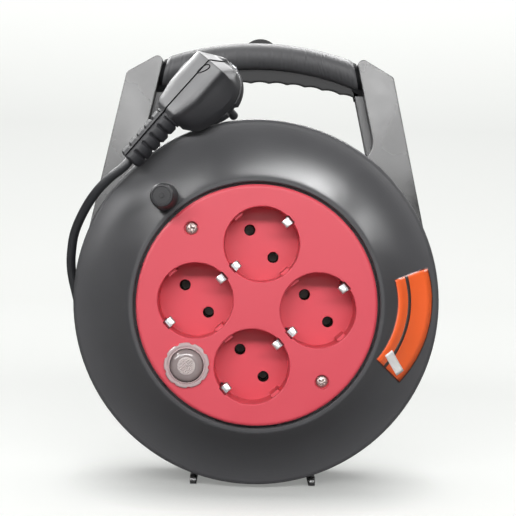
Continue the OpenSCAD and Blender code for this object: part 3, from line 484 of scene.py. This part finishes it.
def screw_head(angle, turn):
    """Pan head with a cross recess, down in its well."""
    cx, cy = SCREW_AT * math.cos(math.radians(angle)), SCREW_AT * math.sin(math.radians(angle))
    sides, rings, middle = 96, 26, 0.02
    verts = []
    for i in range(rings + 1):
        r = middle + (HEAD_R - middle) * i / rings
        for q in circle(sides):
            x, y = abs(r * math.cos(q - turn)), abs(r * math.sin(q - turn))
            arm = min(max(x - CROSS_LONG, y - CROSS_HALF), max(y - CROSS_LONG, x - CROSS_HALF))
            cut = min(1.0, max(0.0, -arm / CROSS_SLOPE + CROSS_EDGE))
            z = (SCREW_Z - HEAD_DROP * (r / HEAD_R) ** 2.4
                 - cut * (CROSS_DEEP - CROSS_RISE * r))
            verts.append(drum(cx + r * math.cos(q), cy + r * math.sin(q), z))
    for r, z in ((HEAD_R, HEAD_BOTTOM), (SHANK_R, HEAD_BOTTOM), (SHANK_R, SHANK_END)):
        verts += [drum(cx + r * math.cos(q), cy + r * math.sin(q), z) for q in circle(sides)]
    return verts, tube_faces(rings + 4, sides)


def make_screws():
    verts, faces = [], []
    for angle, turn in SCREWS:
        v, f = screw_head(angle, turn)
        faces += [tuple(i + len(verts) for i in face) for face in f]
        verts += v
    dress(new_object("plate_screws_look", verts, faces), SCREW, "drum",
          "plate_screws")


make_screws()

# ----------------------------------------------------------------------- grip
BAR_R, ARCH_Y, Z_GRIP, GRIP_R = 154.2, -15.3, -76.5, 7.8
GRIP_SIDES, GRIP_RUNS = 48, 320
GRIP_GAP, ROUND_OFF = 2.2, 0.6                  # from the arms, and at the rubber's ends
ARM_X, ARM_Y, ARM_LEAN = 54.4, 140.3, 0.222     # the arms' inner edges
# near-black sleeves in the gaps at the grip's ends: painted shade
GAP_SHADE_R, GAP_SHADE_BACK = 7, (0.4, -2.1)
# webs at the arms' inner edges under the grip, coloured near black: painted shade
GUSSET_YS, GUSSET_X, GUSSET_Z = (114.5, 118.0, 122.0, 127.0, 133.0), (1, -5.5), (-73.5, -79.5)
# creases across the front of the rubber: place from -1 to 1, depth in millimetres
CREASES = [(-0.83, 0.1), (-0.42, 0.12), (-0.17, 0.08), (0.12, 0.1), (0.3, 0.12), (0.47, 0.16),
           (0.585, 0.3), (0.61, 0.2), (0.64, 0.3), (0.675, 0.22), (0.71, 0.12), (0.8, 0.08)]
CREASE_WIDE, CREASE_SWAY = 0.007, 0.012
# fine ripples round the rubber: height in millimetres, and waves along it
RIPPLE_A, WAVES_A, RIPPLE_B, WAVES_B, RIPPLE_DROP = 0.05, 151, 0.04, 97, 0.09
TOP_CALM, END_STEEP = 0.85, 26                  # less ripple on top, and a quick end


def arm_x(y):
    return ARM_X + ARM_LEAN * (ARM_Y - y)


def grip_point(th, q, r):
    """A point round the arched bar: th along the arch, q round it from the outside."""
    k = BAR_R + r * math.cos(q)
    return k * math.sin(th), ARCH_Y + k * math.cos(th), Z_GRIP + r * math.sin(q)


def grip_end(q, r):
    """The angle along the arch at which the grip meets the arm, by halving."""
    lo, hi = 0.2, 0.6
    for _ in range(40):
        th = (lo + hi) / 2
        x, y, _z = grip_point(th, q, r)
        lo, hi = (th, hi) if x < arm_x(y) - GRIP_GAP else (lo, th)
    return lo


def crease_depth(s, q):
    return sum(d * math.exp(-((s - at - CREASE_SWAY * math.sin(3 * q + at * 9)) / CREASE_WIDE) ** 2)
               for at, d in CREASES)


def grip_radius(s, q):
    """Radius at a share of -1 to 1 along the grip, with its creases and fine ripples."""
    inner = min(1.0, (1 - abs(s)) * END_STEEP)
    r = GRIP_R - ROUND_OFF * (1 - inner) ** 2
    if math.sin(q) > 0:
        r -= inner * math.sin(q) * crease_depth(s, q)
    ripple = (RIPPLE_A * math.sin(WAVES_A * s + 2 * math.sin(q))
              + RIPPLE_B * math.sin(WAVES_B * s + 1.3) - RIPPLE_DROP)
    return r + inner * (1 - TOP_CALM * max(0, math.cos(q))) * ripple


def make_grip():
    verts = []
    for i in range(GRIP_RUNS + 1):
        s = 2 * i / GRIP_RUNS - 1
        for q in circle(GRIP_SIDES):
            r = grip_radius(s, q)
            verts.append(fv(*grip_point(s * grip_end(q, r), q, r)))
    ob = new_object("handle_grip_look", verts, tube_faces(GRIP_RUNS + 1, GRIP_SIDES))
    dress(ob, GRIP, "frame", "handle_grip")
    # painted shade: a near-black sleeve fills the gap between each grip end and its arm
    for side, word in ((-1, "left"), (1, "right")):
        verts = []
        for back in GAP_SHADE_BACK:
            for q in circle(GRIP_SIDES):
                th = side * (grip_end(q, GAP_SHADE_R) - back / BAR_R)
                verts.append(fv(*grip_point(th, q, GAP_SHADE_R)))
        ob = new_object("grip_gap_shade_look." + word, verts, tube_faces(2, GRIP_SIDES))
        dress(ob, SHADE, "frame")
    # painted shade: the webs under the grip's ends take the shadow colour
    (x_out, x_in), (z_front, z_back) = GUSSET_X, GUSSET_Z
    for side, word in ((-1, "left"), (1, "right")):
        verts = [fv(side * (arm_x(y) + x), y, z) for y in GUSSET_YS
                 for x, z in ((x_out, z_front), (x_in, z_front), (x_in, z_back), (x_out, z_back))]
        ob = new_object("arm_gusset_shade_look." + word, verts, tube_faces(len(GUSSET_YS), 4),
                        smooth=False)
        dress(ob, SHADE, "frame")


make_grip()

# ----------------------------------------------------------------------- plug
# Plug-local millimetres: x from the sleeve towards the crown, y across, z towards the pins.
# Each table gives a value at x.
RIDGE_END = 10.6                                # where the crown's end facet starts
TOP = [(-25, -6.9), (-22.5, -8), (RIDGE_END, -8), (16.2, 4.6)]
TOP_HALF = [(-25, 6.6), (-20, 8.8), (-10, 10.6), (RIDGE_END, 10.4), (18, 8)]
SKIRT_Z = [(-25, 7), (-19, 11.4), (18, 11.4)]
SKIRT_HALF = [(-25, 7.4), (-22, 11.6), (-19.6, 13.6), (-12, 16.6), (0, 18.1)]
CROWN_R, SHOULDER_Z = 18.1, 5.0
CROWN_XS = [-25, -24.6, -24, -23.2, -22, -20, -17, -14, -10, -6, -2, 2, 6, 9, 10.2, RIDGE_END,
            12, 14, 16, 17.4, 18]
# the crown's rounded upper edge: in from the top's half width, and down from the top
TOP_EDGE = [(-0.9, 1.2), (-0.2, 2), (0, 2.8)]
SIDE_STEPS, SIDE_BULGE = 6, 0.5
DISC = [(0, 11), (17.6, 11), (17.8, 11.6), (18.2, 11.8), (18.5, 12.2), (18.5, 16.1),
        (18.1, 16.6), (0, 16.6)]
DISC_SIDES, NOTCH_FROM, NOTCH_DEEP, NOTCH_HALF = 96, 17, 1.6, 0.14
SEAM = [(-55.9, -6.3), (-41, -6.8), (-27, -7.25), (-25.2, -7.2), (-24, -7.5), (-22.5, -8.05),
        (-10, -8.05), (10.4, -8.05), (10.9, -7.6), (16.1, 4.1), (17.9, 5.4), (18.2, 11.4),
        (18.6, 12.4), (18.6, 16)]
SEAM_R, POCKET_R = 0.00036, 0.0003              # metres
POCKET_AT, POCKET_LONG, POCKET_HALF, POCKET_Z = 5.1, 3.6, 1.45, -7.98
POCKET_STEPS, POCKET_FLARE, POCKET_SKEW, POCKET_DISH = 28, 0.35, 0.3, 0.02
SLEEVE_ROWS, SLEEVE_SIDES = 181, 72
SLEEVE_AT, SLEEVE_LONG, SLEEVE_R, SLEEVE_GROWS = -56, 31.2, 6.35, 0.85
RIBS, RIB_SHARE, RIB_DEEP, RIBS_END = 5.25, 0.55, 1.3, 0.955
SPINE_HALF, SPINE_DROP, TIP_SHARE, TIP_STEEP = 1.9, 0.35, 0.93, 40


def crown_section(x):
    """Half of the crown's outline at x as (y, z), from the top's middle to the disc."""
    top = eased(x, TOP[:3]) if x <= RIDGE_END else straight(x, TOP)
    w = eased(x, TOP_HALF[:4]) if x <= RIDGE_END else straight(x, TOP_HALF)
    base = straight(x, SKIRT_Z)
    b = straight(x, SKIRT_HALF) if x < 0 else max(1.5, math.sqrt(max(0.0, CROWN_R ** 2 - x * x)))
    w = min(w, b)
    shoulder = min(SHOULDER_Z, base - 2) if x < RIDGE_END else max(top + 3, SHOULDER_Z)
    half = [(0, top), (0.5 * w, top + 0.2), (0.8 * w, top + 0.6)]
    half += [(w + y, top + z) for y, z in TOP_EDGE]
    edge_z = TOP_EDGE[-1][1]
    for k in range(1, SIDE_STEPS + 1):
        t = k / SIDE_STEPS
        half.append((w + (b - w) * t + SIDE_BULGE * math.sin(math.pi * t),
                     top + edge_z + (shoulder - top - edge_z) * t))
    return half + [(b, base), (max(0.2, b - 1), base + 0.3)]


def make_crown():
    verts = []
    for x in CROWN_XS:
        half = crown_section(x)
        ring = [(x, y, z) for y, z in half] + [(x, -y, z) for y, z in reversed(half[1:])]
        verts += ring
    return new_object("plug_crown_look", [Vector(v) for v in verts],
                      tube_faces(len(CROWN_XS), len(ring)), AT_PLUG, angle=28)


def make_disc():
    """The disc that carries the pins, with a notch at each side for the earth contacts."""
    verts = []
    for r, z in DISC:
        for a in circle(DISC_SIDES):
            off = min(abs(a - math.pi / 2), abs(a - 1.5 * math.pi))
            rr = r - NOTCH_DEEP if r > NOTCH_FROM and off < NOTCH_HALF else r
            verts.append(Vector((rr * math.cos(a), rr * math.sin(a), z)))
    return new_object("plug_disc_look", verts, lathe_faces(len(DISC), DISC_SIDES), AT_PLUG)


def make_pocket():
    """Outline of the pull loop's pocket beside the seam."""
    loop = []
    for k in range(POCKET_STEPS + 1):
        a = 2 * math.pi * k / POCKET_STEPS
        x = POCKET_AT - POCKET_LONG * math.cos(a)
        y = (POCKET_HALF * math.sin(a) * (1 + POCKET_FLARE * (x - POCKET_AT) / POCKET_LONG)
             + POCKET_SKEW * (x - POCKET_AT + POCKET_LONG))
        loop.append(AT_PLUG @ Vector((x, y, POCKET_Z + POCKET_DISH * abs(y))))
    return tube_mesh("plug_pocket_look", loop, POCKET_R, 8, up=Vector((0.3, 0.9, 0.3)))


def make_relief():
    """Sleeve with rounded ribs between two smooth spines."""
    verts = []
    for i in range(SLEEVE_ROWS):
        t = i / (SLEEVE_ROWS - 1)
        full = SLEEVE_R + SLEEVE_GROWS * t
        turn = abs((t * RIBS) % 1.0 - 0.5) * 2
        dip = max(0.0, (turn - RIB_SHARE) / (1 - RIB_SHARE)) ** 1.4 if t <= RIBS_END else 0.0
        tip = TIP_SHARE + (1 - TIP_SHARE) * min(1.0, t * TIP_STEEP)
        for q in circle(SLEEVE_SIDES):
            y, z = math.cos(q), math.sin(q)
            on_spine = abs(y) * full < SPINE_HALF
            r = full - SPINE_DROP if on_spine else full - RIB_DEEP * dip
            r *= tip
            verts.append(AT_PLUG @ Vector((SLEEVE_AT + SLEEVE_LONG * t, r * y, r * z)))
    return new_object("plug_relief_look", verts, tube_faces(SLEEVE_ROWS, SLEEVE_SIDES), angle=40)


def make_plug():
    crown, disc = make_crown(), make_disc()
    seam = tube_mesh("plug_seam_look", [AT_PLUG @ Vector((x, 0, z)) for x, z in SEAM], SEAM_R, 8,
                     up=Vector((0.756, 0.02, -0.65)))
    pocket, relief = make_pocket(), make_relief()
    dress(crown, PLUG, "frame", "plug_body")
    dress(disc, PLUG, "frame")
    dress(seam, SHADE, "frame")
    dress(pocket, SHADE, "frame")
    dress(relief, SLEEVE, "frame", "plug_strain_relief")
    return [crown, disc, seam, pocket, relief]


plug_look = make_plug()

# -------------------------------------------------------------------- sticker
# The bell's face, so that the film lies on it.
FLANGE_R, CREST_R, Z_LIP, BELL_DROP, FLARE, SHOULDER = 98.5, 65.8, -1.2, 25.0, 1.9, 0.04
FILM = 0.0002                                   # thickness in metres
ARC_AT = (33, 1.6)                              # the centre of the sticker's arcs
ARC_ENDS, EDGE_ENDS = (17.6, -43.5), (18.2, -44.1)
FILM_R, EDGE_R, LINE_R = (41.3, 61.1), (40.8, 61.6), (47.2, 49)
LIFTS = (0.05, 0.26, 0.47, 0.68)                # each layer's height over the bell
FIELD_AT, FIELD_ALONG, FIELD_LONG = (73.5, -29.9), (0.55, -0.835), 14.2
FIELD_ACROSS = (-2.4, -0.8, 0.8, 2.4)


def bell_z(r):
    """Height of the bell's face at a radius."""
    if r <= CREST_R:
        return Z_LIP
    t = (r - CREST_R) / (FLANGE_R - CREST_R)
    flared = FLARE * t - (FLARE - 1) * t * t
    return Z_LIP - BELL_DROP * flared * (1 + SHOULDER) * t / (t + SHOULDER)


def sticker(name, rows, mat, lift):
    """A patch of film on the bell, from rows of (x, y) at rest. It carries no print."""
    rows = [[fv(x, y, bell_z(math.hypot(x, y)) + lift) for x, y in row] for row in rows]
    dress(sheet(name, rows, FILM, 1), mat, "drum")


def sector(radii, ends, cols=6):
    """Rows across a ring-shaped strip between two radii and two angles in degrees."""
    (r_in, r_out), (first, last) = radii, ends

    def point(u, v):
        a = math.radians(first + (last - first) * u)
        r = r_in + (r_out - r_in) * v
        return ARC_AT[0] + r * math.cos(a), ARC_AT[1] + r * math.sin(a)
    return grid(40, cols, point)


def field():
    """Rows of the small white field, which stands askew at the sticker's lower end."""
    (cx, cy), (dx, dy) = FIELD_AT, FIELD_ALONG
    rows = []
    for i in range(9):
        t = FIELD_LONG * (i / 8 - 0.5)
        rows.append([(cx + dx * t - dy * w, cy + dy * t + dx * w) for w in FIELD_ACROSS])
    return rows


sticker("sticker_edge", sector(EDGE_R, EDGE_ENDS), EDGE, LIFTS[0])
sticker("sticker_main", sector(FILM_R, ARC_ENDS), ORANGE, LIFTS[1])
sticker("sticker_line", sector(LINE_R, ARC_ENDS, cols=2), INK, LIFTS[2])
sticker("sticker_field", field(), LABEL, LIFTS[3])

# --------------------------------------------------------------------- lights
# Places and sizes in metres, power in watts. The key and the ceiling light the reel; the cards
# and tubes are only seen in its gloss.
MIDDLE = (0, 0, 0.12)


def area(name, at, look, size, power, wide=None, diffuse=True, gloss=True):
    """A square lamp, or one of another width, that lights, is reflected or both."""
    lamp = bpy.data.lights.new(name, "AREA")
    lamp.size = size
    if wide:
        lamp.shape = "RECTANGLE"
        lamp.size_y = size
        lamp.size = wide
    lamp.energy = power
    ob = bpy.data.objects.new(name, lamp)
    bpy.context.scene.collection.objects.link(ob)
    ob.location = at
    ob.visible_diffuse = diffuse
    ob.visible_glossy = gloss
    ob.rotation_euler = (Vector(look) - Vector(at)).to_track_quat("-Z", "Y").to_euler()


area("key", (0, -1.55, 0.82), MIDDLE, 0.2, 33, wide=2.4)
area("ceiling", (0, 0.1, 1.7), (0, 0.1, 0), 1.5, 14, gloss=False)
area("card_front", (0.1, -1.9, 0.45), (0, 0, 0.2), 0.3, 10, wide=1.5, diffuse=False)
area("card_left", (-1.15, -0.95, 0.95), (0, 0, 0.15), 0.7, 25, wide=0.7, diffuse=False)
area("tube_left", (-0.85, 0.44, 1.15), MIDDLE, 0.3, 42, wide=1.0, diffuse=False)
area("tube_right", (0.28, 0.48, 1.15), MIDDLE, 0.24, 38, wide=1.1, diffuse=False)
area("tube_side", (1.25, 0.4, 0.95), MIDDLE, 0.3, 9, wide=0.7, diffuse=False)

# ---------------------------------------------------------- world and backdrop
# Sizes in metres.
AMBIENT = 0.05
HORIZON = (0.9, 0.915, 0.892, 1)                # the floor's own tone far away
PAPER, PAPER_SEEN = (0.28, 0.28, 0.28, 1), (0.92, 0.93, 0.91, 1)
PAPER_TINT = (0.985, 1, 0.975)
FLOOR_HALF, FLOOR_FRONT, WALL_Y, WALL_TOP, SWEEP_R = 9, -9.0, 1.4, 3.0, 0.9
TONES = ((0.0, 0.97), (0.05, 0.86), (0.3, 0.76), (0.6, 1.0))    # height, tone of the painted glow
CONTACT_REACH, CONTACT_FROM = 0.055, 0.4        # painted shadow under the reel
CONTACT_DARK, CONTACT_PALE = 0.5, 1.22
GLOW_NEAR, GLOW_FAR = (0.45, 0.5), (0.95, 0.76)                 # distance, share


def make_world():
    """Weak white light, and a pale horizon for the camera alone."""
    world = bpy.data.worlds.new("world")
    bpy.context.scene.world = world
    world.use_nodes = True
    n, l = world.node_tree.nodes, world.node_tree.links
    lit = n["Background"]
    lit.inputs["Color"].default_value = (1, 1, 1, 1)
    lit.inputs["Strength"].default_value = AMBIENT
    seen = new_node(n, "Background", Color=HORIZON, Strength=1.0)
    path = n.new("ShaderNodeLightPath")
    mix = n.new("ShaderNodeMixShader")
    l.new(path.outputs["Is Camera Ray"], mix.inputs["Fac"])
    l.new(lit.outputs["Background"], mix.inputs[1])
    l.new(seen.outputs["Background"], mix.inputs[2])
    l.new(mix.outputs["Shader"], n["World Output"].inputs["Surface"])


def paper_material():
    """Paper that looks pale to the camera but throws little light back at the reel."""
    m = material("floor_paper", PAPER, 0.8, grain=60, bump=0.0, spread=0.005, spec=0.2)
    n, l = m.node_tree.nodes, m.node_tree.links
    path = n.new("ShaderNodeLightPath")
    shader = n["Principled BSDF"]
    pale = colour_mix(n, high=PAPER_SEEN)
    l.new(path.outputs["Is Camera Ray"], pale.inputs[0])
    l.new(shader.inputs["Base Color"].links[0].from_socket, pale.inputs[MIX_A])
    l.new(pale.outputs[MIX_OUT], shader.inputs["Base Color"])
    # a painted glow whose tone follows the height, with a painted shadow where the reel touches the
    # floor
    place = n.new("ShaderNodeTexCoord")
    split = n.new("ShaderNodeSeparateXYZ")
    l.new(place.outputs["Object"], split.inputs["Vector"])
    ramp = n.new("ShaderNodeValToRGB")
    stops = ramp.color_ramp.elements
    for at, v in TONES:
        stop = stops.new(at) if at else stops[0]
        stop.position = at
        stop.color = [v * c for c in PAPER_TINT] + [1]
    l.new(split.outputs["Z"], ramp.inputs["Fac"])
    glow = n.new("ShaderNodeEmission")
    l.new(ramp.outputs["Color"], glow.inputs["Color"])
    near = new_node(n, "AmbientOcclusion", Distance=CONTACT_REACH)
    near.samples = 8
    contact = new_node(n, "MapRange", From_Min=CONTACT_FROM, To_Min=CONTACT_DARK,
                       To_Max=CONTACT_PALE)
    l.new(near.outputs["AO"], contact.inputs["Value"])
    l.new(contact.outputs["Result"], glow.inputs["Strength"])
    # the glow's share grows away from the reel, and only the camera sees it
    away = n.new("ShaderNodeVectorMath")
    away.operation = "LENGTH"
    l.new(place.outputs["Object"], away.inputs[0])
    far = new_node(n, "MapRange", From_Min=GLOW_NEAR[0], From_Max=GLOW_FAR[0],
                   To_Min=GLOW_NEAR[1], To_Max=GLOW_FAR[1])
    l.new(away.outputs["Value"], far.inputs["Value"])
    share = math_node(n, "MULTIPLY")
    l.new(path.outputs["Is Camera Ray"], share.inputs[0])
    l.new(far.outputs["Result"], share.inputs[1])
    mix = n.new("ShaderNodeMixShader")
    l.new(share.outputs[0], mix.inputs["Fac"])
    l.new(shader.outputs["BSDF"], mix.inputs[1])
    l.new(glow.outputs["Emission"], mix.inputs[2])
    l.new(mix.outputs["Shader"], n["Material Output"].inputs["Surface"])
    return m


def make_backdrop():
    """Pale paper that runs along the floor and curves up behind the reel."""
    start = WALL_Y - SWEEP_R
    profile = [(FLOOR_FRONT, 0.0), (-2.0, 0.0), (start, 0.0)]
    for a in range(5, 91, 5):
        q = math.radians(a)
        profile.append((start + SWEEP_R * math.sin(q), SWEEP_R - SWEEP_R * math.cos(q)))
    profile.append((WALL_Y, WALL_TOP))
    verts = [(x, y, z) for y, z in profile for x in (-FLOOR_HALF, FLOOR_HALF)]
    faces = [(2 * i, 2 * i + 1, 2 * i + 3, 2 * i + 2) for i in range(len(profile) - 1)]
    ob = new_object("floor", verts, faces, angle=60)
    ob.data.materials.append(paper_material())


make_world()
make_backdrop()

scene = bpy.context.scene
scene.view_settings.view_transform = "Standard"
